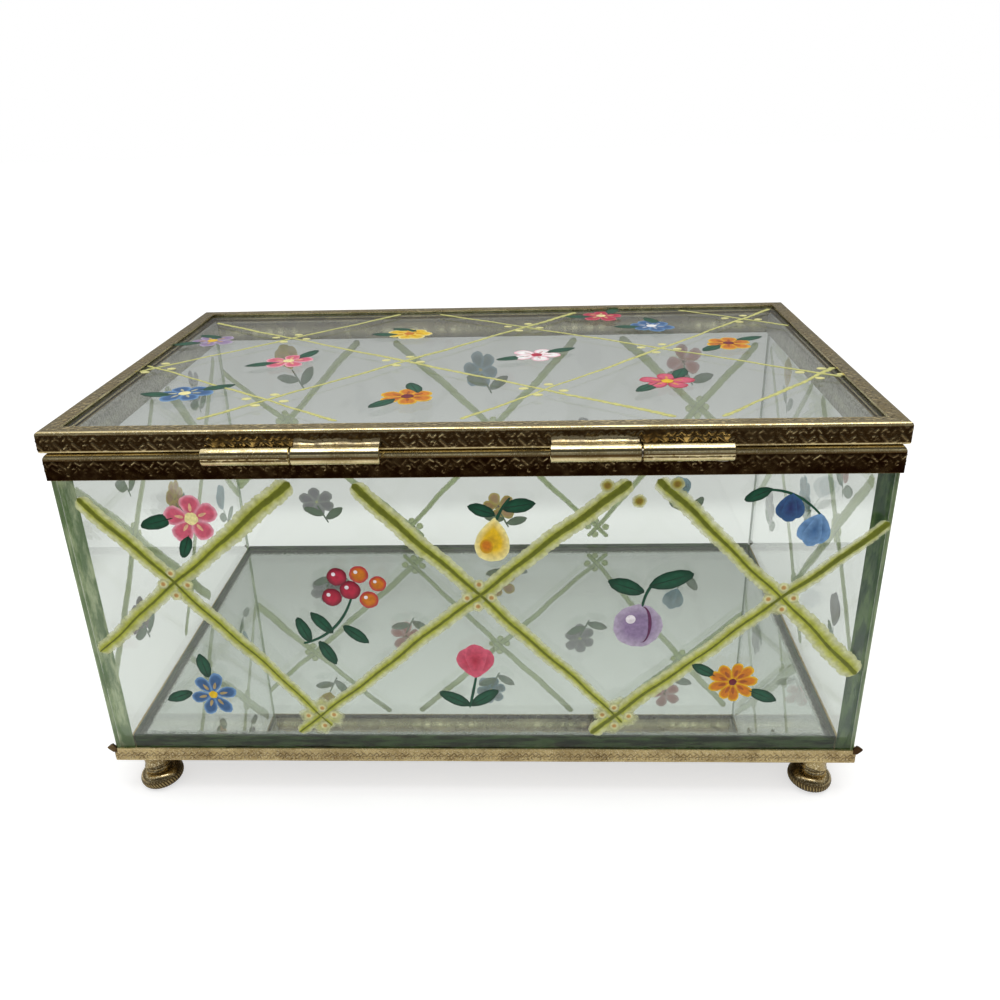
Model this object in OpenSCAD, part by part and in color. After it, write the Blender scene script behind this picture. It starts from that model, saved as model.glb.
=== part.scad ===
// Casket box of clear glass plates held in bent brass channels, with a mirror for its floor.
// Millimetres. The hinge side looks along -Y, the opening side along +Y, and +Z is up.
// The feet stand on z = 0, and x = y = 0 is the middle of the whole box, barrels included.

/* [Overall size] */
// Width of the lid, along the hinge side
lid_w = 160; // [130:1:240]
// Depth of the lid, from the hinge side to the opening side
lid_d = 100; // [80:1:160]
// Height of the glass walls
wall_h = 70.8; // [40:0.2:120]

/* [Glass and mirror] */
// Thickness of the wall plates and of the lid plate
glass_t = 3.2; // [2.4:0.1:4]
// Thickness of the mirror's glass
mirror_t = 4; // [3:0.1:5]
// Thickness of the silvering with its protective paint
silver_t = 0.2; // [0.1:0.05:0.4]
// Thickness of the card under the mirror
card_t = 0.8; // [0.4:0.1:1.2]
// Gap between the mirror's edges and the walls
mirror_clear = 0.25; // [0.1:0.05:0.6]
// Cement joint between a side wall and the long wall that it butts against
joint_gap = 0.06; // [0.02:0.02:0.3]

/* [Brass channels] */
// Thickness of the brass strip
brass_t = 0.4; // [0.3:0.05:0.6]
// Gap between a plate's face and each leg of the channel on it
channel_slack = 0.1; // [0.05:0.05:0.3]
// How far the lid channel's legs reach over the lid plate
lid_leg = 3; // [2:0.1:5]
// Height of the channel that caps the walls
rim_leg = 5.3; // [4:0.1:8]
// Height of the base channel's upright leg
base_leg = 3.4; // [2.6:0.1:5]
// Width of the base channel's flat flange, under the walls and the mirror
base_flange = 6.4; // [5.6:0.1:9]
// How far the rim channel stands back from the lid's outline
rim_inset = 0.25; // [0.1:0.05:0.6]
// Inner radius of the sharp bends
tight_bend = 0.1; // [0.05:0.05:0.3]
// Inner radius of the full round folds, where lid and rim meet
round_bend = 0.5; // [0.3:0.05:0.7]
// Seam left between two channels at a mitred corner
mitre_gap = 0.06; // [0.02:0.02:0.2]
// Seam between the closed lid and the rim
lid_gap = 0.25; // [0.15:0.05:0.5]
// What is left between a plate's square edge and the round of a fold
fold_clear = 0.05; // [0.03:0.01:0.2]
// Height of the bent-up tab at each end of a long base channel
tab_h = 1.4; // [0.6:0.1:2]
// Width of that tab
tab_w = 1.8; // [1:0.1:3]

/* [Hinges] */
// Distance from the box's middle to the middle of each hinge
hinge_centre = 31.9; // [24:0.1:45]
// Length of one knuckle
knuckle_len = 16.3; // [8:0.1:18]
// Gap between the two knuckles of a hinge
knuckle_gap = 0.3; // [0.2:0.05:0.6]
// Outer diameter of the knuckle tubes
barrel_d = 3.4; // [2.8:0.1:4.4]
// Gap between the tubes and the lid's back face
barrel_gap = 0.25; // [0.2:0.05:0.5]
// Diameter of the hinge pins
pin_d = 1.6; // [1:0.1:2]
// Running gap between a pin and the lid's knuckle, on the radius
pin_play = 0.05; // [0.02:0.01:0.1]
// Gap between a pin and the box's own knuckle, which grips it, on the radius
pin_grip = 0.01; // [0.01:0.01:0.02]
// Radius of the hollow solder fillet between a tube and its channel
solder_r = 1.1; // [0.7:0.1:1.4]

/* [Feet] */
// Diameter of a foot across its knurled bun
foot_d = 9.4; // [7:0.1:12]
// Height of a foot
foot_h = 8; // [6:0.1:14]
// Thickness of the bun
bun_h = 3.7; // [3:0.1:4.5]
// Diameter of the neck at its waist
waist_d = 4.6; // [3:0.1:5]
// Diameter of the neck where it meets the base
neck_d = 5.8; // [4:0.1:6]
// Height of the hollow turned round the waist
cove_h = 1.3; // [0.8:0.1:1.8]
// Flutes round the bun
knurl_count = 30; // [16:2:48]
// Depth of a flute
knurl_depth = 0.22; // [0.1:0.02:0.4]
// Distance from the end of the base to the middle of a foot
foot_from_end = 7.8; // [6:0.1:16]
// Distance from the long face of the base to the middle of a foot
foot_from_face = 3.7; // [3:0.1:5]

/* [Hidden] */

// Sides of the box, each a quarter turn on from the one before
BACK = 0;
RIGHT = 1;
FRONT = 2;
LEFT = 3;

BRASS = [0.62, 0.53, 0.34];
BRIGHT_BRASS = [0.80, 0.70, 0.45];
CLEAR = [0.72, 0.84, 0.80, 0.35];
SILVER = [0.86, 0.88, 0.88];
CARD = [0.45, 0.43, 0.40];

arc_steps = 48;
// Past the solids on each side of a cut
over = 1;
// A block that is larger than any strip's section
cut_block = 80;

// Outlines, from the lid inwards
rim_w = lid_w - 2 * rim_inset;
rim_d = lid_d - 2 * rim_inset;
rim_grip = brass_t + channel_slack;
// A plate's edge stands off the channel's web, so that its corners clear the round folds
fold_depth = round_bend - min(round_bend, channel_slack);
edge_gap = round_bend - sqrt(pow(round_bend, 2) - pow(fold_depth, 2)) + fold_clear;
edge_seat = brass_t + edge_gap;
wall_w = rim_w - 2 * rim_grip;
wall_d = rim_d - 2 * rim_grip;
base_w = wall_w + 2 * rim_grip;
base_d = wall_d + 2 * rim_grip;
inner_w = wall_w - 2 * glass_t;
inner_d = wall_d - 2 * glass_t;

// Heights, from the floor up
flange_top = foot_h + brass_t;
silver_z = flange_top + card_t;
mirror_z = silver_z + silver_t;
wall_top = flange_top + wall_h;
rim_top = wall_top + edge_seat;
lid_z = rim_top + lid_gap;
lid_h = glass_t + 2 * rim_grip;
parting_z = rim_top + lid_gap / 2;

// Hinge line, measured outwards from the lid's back face
barrel_r = barrel_d / 2;
axis_out = barrel_gap + barrel_r;
hinge_proud = barrel_gap + barrel_d;

foot_r = foot_d / 2;
bun_edge = bun_h / 2;
// A flute is cut by a round bit of this radius
flute_r = 2 * knurl_depth;

// How far the whole box reaches behind and before the middle of its lid
back_reach = lid_d / 2 + hinge_proud;
front_reach = max(lid_d / 2, base_d / 2 - foot_from_face + foot_r);

// Moves what is drawn round the lid's middle to the middle of the whole box
module centred() {
    translate([0, (back_reach - front_reach) / 2, 0]) children();
}

// Puts something built along X, with its outer face at y = 0, on one side of a w by d outline
module on_side(side, w, d) {
    face = (side % 2 == 0 ? d : w) / 2;
    rotate([0, 0, 90 * side]) translate([0, -face, 0]) children();
}

function side_length(side, w, d) = side % 2 == 0 ? w : d;

// Turns a section drawn as (inwards, up) into a bar along X
module bar(length) {
    rotate([90, 0, 90]) linear_extrude(length, center = true) children();
}

// What a bend of radius r takes off the corner of a section that starts at the origin
module corner_waste(r) {
    difference() {
        translate([-over, -over]) square(r + over);
        translate([r, r]) circle(r, $fn = arc_steps);
    }
}

// Rectangle whose two corners on its left side are rounded
module bent_block(w, h, low_r, high_r) {
    difference() {
        square([w, h]);
        corner_waste(low_r);
        translate([0, h]) mirror([0, 1]) corner_waste(high_r);
    }
}

// U section, open to the right: an upright web at x = 0 and two legs of one length
module u_section(leg, h, low_bend, high_bend) {
    difference() {
        bent_block(leg, h, low_bend + brass_t, high_bend + brass_t);
        translate([brass_t, brass_t])
            bent_block(leg, h - 2 * brass_t, low_bend, high_bend);
    }
}

// L section: an upright leg at x = 0 and a flange along the bottom
module l_section(leg, flange) {
    difference() {
        square([flange, leg]);
        corner_waste(tight_bend + brass_t);
        translate([brass_t, brass_t]) difference() {
            square([flange, leg]);
            corner_waste(tight_bend);
        }
    }
}

// Bar whose two ends are cut at 45 degrees, to meet its neighbours round the box
module mitred_bar(length) {
    difference() {
        bar(length) children();
        for (end = [0, 1])
            mirror([end, 0, 0])
                translate([length / 2, 0, 0])
                    rotate([0, 0, 45])
                        translate([-mitre_gap / 2, -cut_block / 2, -cut_block / 2])
                            cube(cut_block);
    }
}

module lid_channel(side) {
    color(BRASS) centred() translate([0, 0, lid_z])
        on_side(side, lid_w, lid_d)
            mitred_bar(side_length(side, lid_w, lid_d))
                u_section(brass_t + lid_leg, lid_h, round_bend, tight_bend);
}

module rim_channel(side) {
    cap = glass_t + 2 * rim_grip;
    color(BRASS) centred() translate([0, 0, rim_top])
        on_side(side, rim_w, rim_d)
            mitred_bar(side_length(side, rim_w, rim_d))
                rotate(-90) u_section(rim_leg, cap, round_bend, round_bend);
}

// Pointed tab of the upright leg, bent up at a long channel's end, drawn as (along, up)
module corner_tab() {
    polygon([[0, -over], [0, tab_h / 2], [tab_w / 3, tab_h], [tab_w, 0], [tab_w, -over]]);
}

module base_channel(side) {
    length = side_length(side, base_w, base_d);
    color(BRASS) centred() translate([0, 0, foot_h])
        on_side(side, base_w, base_d) {
            mitred_bar(length) l_section(base_leg, base_flange);
            if (side % 2 == 0)
                for (end = [0, 1])
                    mirror([end, 0, 0])
                        translate([-length / 2 + brass_t + mitre_gap, brass_t, base_leg])
                            rotate([90, 0, 0]) linear_extrude(brass_t) corner_tab();
        }
}

module wall_glass(side) {
    length = side % 2 == 0 ? wall_w : inner_d - 2 * joint_gap;
    color(CLEAR) centred() translate([0, 0, flange_top])
        on_side(side, wall_w, wall_d)
            bar(length) square([glass_t, wall_h]);
}

// One layer of the mirror floor, inside the walls
module floor_layer(thickness) {
    translate([0, 0, thickness / 2])
        cube([inner_w - 2 * mirror_clear, inner_d - 2 * mirror_clear, thickness], center = true);
}

module mirror_backing_card() {
    color(CARD) centred() translate([0, 0, flange_top]) floor_layer(card_t);
}

module mirror_silver() {
    color(SILVER) centred() translate([0, 0, silver_z]) floor_layer(silver_t);
}

module base_mirror_glass() {
    color(CLEAR) centred() translate([0, 0, mirror_z]) floor_layer(mirror_t);
}

module lid_glass() {
    color(CLEAR) centred()
        translate([0, 0, lid_z + lid_h / 2])
            cube([lid_w - 2 * edge_seat, lid_d - 2 * edge_seat, glass_t], center = true);
}

// Half outline of a turned foot, standing on the floor
module foot_profile() {
    difference() {
        union() {
            square([foot_r - bun_edge, bun_h]);
            translate([foot_r - bun_edge, bun_edge]) circle(bun_edge, $fn = arc_steps);
            polygon([
                [0, bun_edge], [waist_d / 2 + cove_h / 2, bun_edge],
                [waist_d / 2 + cove_h / 2, bun_h], [waist_d / 2, bun_h + cove_h],
                [neck_d / 2, foot_h], [0, foot_h]
            ]);
        }
        translate([waist_d / 2 + cove_h / 2, bun_h + cove_h / 2])
            circle(cove_h / 2, $fn = arc_steps);
        translate([-foot_r, 0]) square([foot_r, foot_h]);
    }
}

module foot(front, right) {
    x = base_w / 2 - foot_from_end;
    y = base_d / 2 - foot_from_face;
    color(BRIGHT_BRASS) centred()
        translate([right ? x : -x, front ? y : -y, 0])
            difference() {
                rotate_extrude($fn = arc_steps) foot_profile();
                for (i = [0 : knurl_count - 1])
                    rotate([0, 0, i * 360 / knurl_count])
                        translate([foot_r + flute_r - knurl_depth, 0, -over])
                            cylinder(r = flute_r, h = bun_h + 2 * over, $fn = arc_steps);
            }
}

// Where the fillet starts on the flat of its channel, clear of the round fold
fillet_foot = lid_gap / 2 + brass_t + round_bend;

// Section of the solder between a tube and its channel, as (inwards from the pin's axis, up).
// Its round hollow touches the tube and the channel's flat face, which lies this far behind the axis.
module solder_section(face) {
    reach = barrel_r + solder_r;
    hollow = [face - solder_r, sqrt(reach * reach - pow(face - solder_r, 2))];
    difference() {
        polygon([[0, 0], [0, barrel_r / 2], hollow * barrel_r / reach, [face, hollow[1]], [face, fillet_foot]]);
        translate(hollow) circle(solder_r, $fn = arc_steps);
    }
}

// Tube soldered to its channel, with its bore along the hinge line
module knuckle(inner, right, face, bore_r, up) {
    side = inner ? -1 : 1;
    x = hinge_centre + side * (knuckle_len + knuckle_gap) / 2;
    color(BRIGHT_BRASS) centred()
        translate([right ? x : -x, -lid_d / 2 - axis_out, parting_z])
            difference() {
                union() {
                    rotate([0, 90, 0])
                        cylinder(r = barrel_r, h = knuckle_len, center = true, $fn = arc_steps);
                    bar(knuckle_len) mirror([0, up ? 0 : 1]) solder_section(face);
                }
                rotate([0, 90, 0])
                    cylinder(r = bore_r, h = knuckle_len + 2 * over, center = true, $fn = arc_steps);
            }
}

module lid_knuckle(right) {
    knuckle(true, right, axis_out, pin_d / 2 + pin_play, true);
}

module body_knuckle(right) {
    knuckle(false, right, axis_out + rim_inset, pin_d / 2 + pin_grip, false);
}

module hinge_pin(right) {
    x = right ? hinge_centre : -hinge_centre;
    color(BRIGHT_BRASS) centred()
        translate([x, -lid_d / 2 - axis_out, parting_z])
            rotate([0, 90, 0])
                cylinder(d = pin_d, h = 2 * knuckle_len + knuckle_gap, center = true, $fn = arc_steps);
}

base_channel(BACK);  // base_channel_back
base_channel(RIGHT);  // base_channel_right
base_channel(FRONT);  // base_channel_front
base_channel(LEFT);  // base_channel_left
mirror_backing_card();
mirror_silver();
base_mirror_glass();
foot(false, false);  // foot_back_left
foot(false, true);  // foot_back_right
foot(true, false);  // foot_front_left
foot(true, true);  // foot_front_right
wall_glass(BACK);  // wall_glass_back
wall_glass(RIGHT);  // wall_glass_right
wall_glass(FRONT);  // wall_glass_front
wall_glass(LEFT);  // wall_glass_left
rim_channel(BACK);  // rim_channel_back
rim_channel(RIGHT);  // rim_channel_right
rim_channel(FRONT);  // rim_channel_front
rim_channel(LEFT);  // rim_channel_left
body_knuckle(false);  // body_knuckle_left
body_knuckle(true);  // body_knuckle_right
hinge_pin(false);  // hinge_pin_left
hinge_pin(true);  // hinge_pin_right
lid_glass();
lid_channel(BACK);  // lid_channel_back
lid_channel(RIGHT);  // lid_channel_right
lid_channel(FRONT);  // lid_channel_front
lid_channel(LEFT);  // lid_channel_left
lid_knuckle(false);  // lid_knuckle_left
lid_knuckle(true);  // lid_knuckle_right
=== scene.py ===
"""Casket box of painted glass plates held in embossed brass channels, with a mirror for its floor.

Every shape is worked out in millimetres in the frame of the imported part, and is scaled to metres
when its mesh is made. The hinge side looks along -Y.
"""

import math

import bpy
import numpy as np
from mathutils import Matrix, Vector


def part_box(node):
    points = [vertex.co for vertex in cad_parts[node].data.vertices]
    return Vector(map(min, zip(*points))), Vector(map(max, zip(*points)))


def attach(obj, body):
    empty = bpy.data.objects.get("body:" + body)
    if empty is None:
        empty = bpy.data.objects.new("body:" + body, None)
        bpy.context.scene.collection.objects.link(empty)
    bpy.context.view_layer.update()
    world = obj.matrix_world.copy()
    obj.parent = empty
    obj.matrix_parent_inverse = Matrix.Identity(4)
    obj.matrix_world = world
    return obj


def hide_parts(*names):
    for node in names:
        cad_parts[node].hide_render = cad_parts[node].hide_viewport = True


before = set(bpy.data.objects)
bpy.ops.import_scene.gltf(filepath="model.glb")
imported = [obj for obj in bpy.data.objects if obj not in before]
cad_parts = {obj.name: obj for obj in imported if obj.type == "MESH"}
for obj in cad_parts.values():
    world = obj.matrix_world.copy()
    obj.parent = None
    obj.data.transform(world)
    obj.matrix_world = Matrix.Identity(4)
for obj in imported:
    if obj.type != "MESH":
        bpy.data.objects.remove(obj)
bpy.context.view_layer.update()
MM = 0.001
SIDES = ("back", "right", "front", "left")


def span(node):
    """A node's lowest and highest corner at rest, in millimetres."""
    low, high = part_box(node)
    return np.array(low) / MM, np.array(high) / MM


def tone(red, green, blue):
    """A colour written as 0 to 255 on a screen, as the linear red, green, blue and alpha of a shader."""
    share = np.array([red, green, blue]) / 255
    linear = np.where(share > 0.04045, ((share + 0.055) / 1.055) ** 2.4, share / 12.92)
    return (*linear.tolist(), 1.0)


# ---------------------------------------------------------------- materials


class Value:
    """A socket of a node tree. An expression on values adds its Math nodes."""

    def __init__(self, finish, socket):
        self.finish = finish
        self.socket = socket

    def math(self, operation, *others):
        return self.finish.math(operation, self, *others)

    def __add__(self, other):
        return self.math("ADD", other)

    def __mul__(self, other):
        return self.math("MULTIPLY", other)

    def __sub__(self, other):
        return self.math("SUBTRACT", other)

    def __rsub__(self, other):
        return self.finish.math("SUBTRACT", other, self)

    def __neg__(self):
        return self * -1

    def __abs__(self):
        return self.math("ABSOLUTE")

    __radd__ = __add__
    __rmul__ = __mul__

    def ramp(self, start, end, low=0.0, high=1.0):
        """Smooth step: low up to start, high from end on."""
        return self.finish.node("MapRange", {"interpolation_type": "SMOOTHSTEP"},
                                {"Value": self, "From Min": start, "From Max": end, "To Min": low, "To Max": high})


class Finish:
    """The node tree of one material, or of the world."""

    def __init__(self, owner):
        owner.use_nodes = True
        self.owner = owner
        self.tree = owner.node_tree
        self.tree.nodes.clear()

    def node(self, kind, settings, values, result=0):
        """Adds a node: its settings first, then its inputs' numbers or links. Gives the named output."""
        made = self.tree.nodes.new("ShaderNode" + kind)
        for name, setting in settings.items():
            setattr(made, name, setting)
        for key, value in values.items():
            socket = made.inputs[key] if isinstance(key, int) else next(
                s for wanted in ("identifier", "name") for s in made.inputs if getattr(s, wanted) == key)
            if isinstance(value, Value):
                self.tree.links.new(value.socket, socket)
            else:
                socket.default_value = value
        output = made.outputs[result] if isinstance(result, int) else next(
            s for wanted in ("identifier", "name") for s in made.outputs if getattr(s, wanted) == result)
        return Value(self, output)

    def math(self, operation, *values):
        return self.node("Math", {"operation": operation}, dict(enumerate(values)))

    def mix(self, share, first, second):
        """Colour that goes from first to second as share goes from 0 to 1. A tuple is a colour on a screen."""
        first, second = (tone(*colour) if isinstance(colour, tuple) else colour for colour in (first, second))
        return self.node("Mix", {"data_type": "RGBA"},
                         {"Factor_Float": share, "A_Color": first, "B_Color": second}, "Result_Color")

    def place(self):
        """Object coordinates in millimetres."""
        where = self.node("TexCoord", {}, {}, "Object")
        return self.node("VectorMath", {"operation": "SCALE"}, {"Vector": where, "Scale": 1 / MM})

    def parts(self, vector):
        """The x, y and z of a vector."""
        split = self.node("SeparateXYZ", {}, {"Vector": vector})
        return [Value(self, s) for s in split.socket.node.outputs]

    def mark(self, name, result="Fac"):
        """A mesh attribute of the piece, 0 where it has none."""
        return self.node("Attribute", {"attribute_name": name}, {}, result)

    def noise(self, place, scale, detail=3.0, rough=0.55):
        """Cloudy noise, scale features to a millimetre."""
        return self.node("TexNoise", {}, {"Vector": place, "Scale": scale, "Detail": detail, "Roughness": rough})

    def stretched(self, place, x, y, z):
        """The place scaled by x, y and z, which draws a noise out along its smallest number."""
        return self.node("Mapping", {"vector_type": "POINT"}, {"Vector": place, "Scale": (x, y, z)})

    def bump(self, height, depth, strength=1.0):
        """Normal of a surface that rises by depth millimetres where height is 1."""
        return self.node("Bump", {}, {"Height": height, "Distance": depth * MM, "Strength": strength})

    def surface(self, values):
        return self.node("BsdfPrincipled", {}, values)

    def ray(self, kind):
        """1 for one kind of light path, and 0 for the rest."""
        return self.node("LightPath", {}, {}, kind)

    def close(self, shader, kind="OutputMaterial"):
        end = self.tree.nodes.new("ShaderNode" + kind)
        self.tree.links.new(shader.socket, end.inputs["Surface"])
        return self.owner


def material(name):
    return Finish(bpy.data.materials.new(name))


def brass(name, bright, dull, dark, smooth, worn, crusty=0.0):
    """Lacquered brass: bright metal with cloudy dull patches, brown in its hollows, grained and pitted.

    Marks: relief is 0 on the ground, 1 on a crest and -1 in a groove, the tarnish mark is how brown the ground
    has gone, and on the upper back of a channel it is painted shade as well, inside is 1 on the tinned back of
    the strip, the glint mark is 1 where a highlight is painted on that, and solder is 1 where the joint is
    grey. Dirt lies in the grooves, the flanks of the crests are darker, and a painted sparkle of bright specks
    shows on what has not tarnished. Crusty is how much rougher the brown ground is.
    """
    f = material(name)
    place = f.place()
    relief, tarnish, inside, glint, solder = (f.mark(m) for m in ("relief", "tarnish", "inside", "glint", "solder"))
    cloud = f.noise(place, 0.16, 4.0).ramp(0.38, 0.66)
    speck = f.noise(place, 2.6, 3.0, 0.7)
    # Painted sparkle: bright specks of colour, fewer where the brass has tarnished
    painted_sparkle = f.noise(place, 4.2, 2.0, 0.5).ramp(0.55, 0.64, 0.0, 0.8) * (1 - tarnish * 0.8)
    brown_ground = (1 - relief) * tarnish * f.noise(place, 0.5, 4.0).ramp(0.25, 0.6, 0.75, 1.0)
    dirty_groove = (-relief).ramp(0.2, 0.8, 0.0, 0.62) * speck.ramp(0.3, 0.55, 0.55, 1.0)
    metal = f.mix(cloud * 0.8, bright, dull)
    for share, colour in ((speck.ramp(0.56, 0.74, 0.0, 0.55), dark), (painted_sparkle, (252, 240, 204)),
                          (brown_ground, dark), (relief * (1 - relief) * 2.6, dark),
                          (relief.ramp(0.5, 1.0, 0.0, 0.85), bright), (dirty_groove, dark)):
        metal = f.mix(share, metal, colour)
    worn_tin = f.noise(f.stretched(place, 0.05, 0.05, 0.5), 1.0, 4.0, 0.7)
    tin = f.mix(worn_tin.ramp(0.42, 0.6), (84, 82, 70), (136, 131, 108))
    metal = f.mix(inside * 0.85, metal, f.mix(cloud * 0.6, tin, (92, 90, 82)))
    # Painted highlight: the glint mark paints near-white brass and takes some metal out, so that it shows pale
    metal = f.mix(glint, metal, (255, 246, 206))
    metal = f.mix(solder, metal, f.mix(speck.ramp(0.3, 0.7), (216, 213, 206), (112, 107, 102)))
    return f.close(f.surface({
        "Base Color": metal,
        "Metallic": (1 - speck.ramp(0.62, 0.8, 0.0, 0.35)) * (1 - glint * 0.6) * (1 - solder * 0.55),
        "Roughness": smooth + cloud * (worn - smooth) + speck.ramp(0.5, 0.8, 0.0, 0.14) + solder * 0.12
        + tarnish * crusty,
        "Normal": f.bump(f.noise(place, 7.0, 2.0) * 0.6 + f.noise(place, 1.7, 3.0), 0.012, 0.55),
    }))


def clear_glass(name, side, face, edge, cloudy, draw=(0.5, 0.5, 0.12), frost=0.8):
    """Float glass: clear faces across the axis called side, and ground green edges, which blur what is behind.

    The green is smeared along the smallest number of draw, and frost is how little shows through it. Lamps and
    soft light pass straight through the plate, so that what it shuts in is lit.
    """
    f = material(name)
    place = f.place()
    normal = f.node("TexCoord", {}, {}, "Normal")
    ground = 1 - abs(f.parts(normal)[side]).ramp(0.3, 0.8)
    green = f.mix(f.noise(f.stretched(place, *draw), 1.0, 4.0, 0.65).ramp(0.4, 0.64), edge, cloudy)
    clear = f.surface({"Base Color": f.mix(ground, face, green), "Roughness": ground * 0.2, "IOR": 1.52,
                       "Transmission Weight": 1.0})
    frosted = f.surface({"Base Color": green, "Roughness": 0.3})
    glass = f.node("MixShader", {}, {0: ground * frost, 1: clear, 2: frosted})
    passing = f.ray("Is Shadow Ray").math("MAXIMUM", f.ray("Is Diffuse Ray"))
    open_glass = f.node("BsdfTransparent", {}, {"Color": tone(*face)})
    return f.close(f.node("MixShader", {}, {0: passing, 1: glass, 2: open_glass}))


def silvering(middle, half):
    """Silver behind the mirror's glass, grey and mottled where damp has crept in from the edges.

    The share of damage falls from the nearest edge inwards, and noise breaks its border up. It reaches less
    far in from the short ends, and is darkest at the rim and for a wider band on the hinge side.
    """
    f = material("silvering")
    place = f.place()
    x, y, _ = f.parts(place)
    inward = ((half[0] - abs(x - middle[0])) * 2.1).math("MINIMUM", half[1] - abs(y - middle[1]))
    cloud = f.noise(place, 0.9, 5.0, 0.7)
    damp = (inward + cloud * 2.8).ramp(5.4, 3.4)
    spot = f.noise(place, 2.4, 2.0, 0.6).ramp(0.66, 0.72) * (inward + cloud * 8).ramp(16.0, 6.0)
    lost = damp.math("MAXIMUM", spot)
    grey = f.mix(f.noise(place, 1.7, 4.0, 0.8).ramp(0.44, 0.58), (82, 84, 78), (206, 206, 196))
    hinge_side = (middle[1] - y).ramp(half[1] - 8, half[1] - 6, 0.0, 2.6)
    grey = f.mix((inward - hinge_side + cloud * 1.6).ramp(3.6, 2.2, 0.0, 0.8), grey, (56, 59, 50))
    return f.close(f.surface({
        "Base Color": f.mix(lost, (242, 245, 242), grey),
        "Metallic": 1 - lost * 0.45,
        "Roughness": 0.015 + lost * 0.4,
    }))


def card():
    """Pressed grey-brown card: fibres in two directions, scuffed paler in patches."""
    f = material("backing_card")
    place = f.place()
    fibre = (f.noise(f.stretched(place, 0.25, 2.5, 1.0), 1.6, 5.0)
             + f.noise(f.stretched(place, 2.5, 0.25, 1.0), 1.6, 5.0))
    scuff = f.noise(place, 0.06, 5.0).ramp(0.45, 0.7)
    return f.close(f.surface({
        "Base Color": f.mix(fibre.ramp(0.7, 1.3), f.mix(scuff, (112, 98, 80), (140, 126, 104)), (92, 80, 66)),
        "Roughness": 0.92,
        "Normal": f.bump(fibre, 0.05, 0.6),
    }))


def enamel():
    """Hand-brushed glass enamel: its colour is painted on the mesh, streaked along the brush.

    Marks: tint is the colour, under is 1 on the side that faces the glass, which is rougher and paler: partly the
    paint's own paler back, and partly painted backlight that stands for light coming through the paint. Thin is
    how far the paint has thinned out, from 0 to 1 at the ragged edge of a wash.
    """
    f = material("enamel")
    place = f.place()
    tint = f.mark("tint", "Color")
    under = f.mark("under")
    streak = f.noise(place, 1.1, 4.0, 0.6)
    shade = f.node("HueSaturation", {}, {"Color": tint, "Saturation": 1.02,
                                         "Value": streak.ramp(0.3, 0.7, 0.82, 1.12)})
    # Painted backlight: the side towards the glass is paled, partly the paint's paler back and partly light through
    # it
    pale_and_backlit_back = f.mix(0.58, tint, (204, 208, 190))
    thin = f.mark("thin")
    bristle = f.noise(place, 1.3, 4.0, 0.7)
    return f.close(f.surface({
        "Base Color": f.mix(under, shade, pale_and_backlit_back),
        "Roughness": 0.34 + under * 0.3,
        "Alpha": 1 - thin * bristle.ramp(0.3, 0.66, 0.72, 1.0),
        "Normal": f.bump(streak, 0.05, 0.5),
    }))


# ---------------------------------------------------------------- meshes


# The strip's thickness, the width of lid flange, rim and base flange, the base's height, and a mitre's gap
BRASS = 0.4
LID_FLANGE, RIM_WIDTH, BASE_FLANGE, BASE_LIP = 3.4, 4.2, 6.4, 3.4
MITRE_GAP = 0.042
# Radii of its bends, and how far apart its points are: on a rolled face, on a plain one, along it, round a bend
SHARP, SOFT, ROUND, SHOULDER = 0.1, 0.6, 0.5, 1.25
FINE, PLAIN, STATION, FINE_BEND = 0.15, 0.8, 0.22, 0.16
# Faces of a section: two that are rolled, the plain ones, the back of the strip, and the lid's underside
FIRST, SECOND, SMOOTH, BACK, BELOW = range(5)
# Further in than this, a bend belongs to the inner leg
INNER_LEG = 3.5


def quads(rows, columns, round_rows=False, round_columns=False):
    """Corner numbers of the quads between neighbouring points of a grid, which may close on itself."""
    row = np.arange(rows if round_rows else rows - 1)[:, None]
    column = np.arange(columns if round_columns else columns - 1)[None]
    next_row, next_column = (row + 1) % rows, (column + 1) % columns
    return np.stack(np.broadcast_arrays(row * columns + column, row * columns + next_column,
                                        next_row * columns + next_column, next_row * columns + column),
                    -1).reshape(-1, 4)


def piece(name, points, faces, finish, body, stands_for=(), marks=None, crease=38):
    """Makes a mesh of points in millimetres, faces outwards, and lets it ride on a body.

    The faces are turned round where the volume that they enclose comes out negative.
    """
    points = np.asarray(points, float)
    fans = [np.asarray([(f[0], f[i], f[i + 1]) for f in group]).T
            for size in sorted({len(f) for f in faces}) for group in [[f for f in faces if len(f) == size]]
            for i in range(1, size - 1)]
    volume = sum(np.einsum("ij,ij->", points[a], np.cross(points[b], points[c])) for a, b, c in fans)
    faces = [f[::-1] for f in faces] if volume < 0 else faces
    mesh = bpy.data.meshes.new(name)
    mesh.from_pydata((points * MM).tolist(), [], faces)
    mesh.shade_smooth()
    mesh.set_sharp_from_angle(angle=math.radians(crease))
    for mark, values in (marks or {}).items():
        values = np.asarray(values, np.float32)
        wide = values.ndim == 2
        layer = mesh.attributes.new(mark, "FLOAT_COLOR" if wide else "FLOAT", "POINT")
        layer.data.foreach_set("color" if wide else "value", values.ravel())
    mesh.materials.append(finish)
    made = bpy.data.objects.new(name, mesh)
    bpy.context.scene.collection.objects.link(made)
    if stands_for:
        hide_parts(*stands_for)
    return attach(made, body)


def ripple(along, seed, *waves):
    """Sum of sines about zero, one for each (wavelength, height), with phases fixed by the seed."""
    phases = np.random.default_rng(seed).uniform(0, 2 * math.pi, len(waves))
    return sum(height * np.sin(2 * math.pi * along / length + phase)
               for (length, height), phase in zip(waves, phases))


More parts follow.
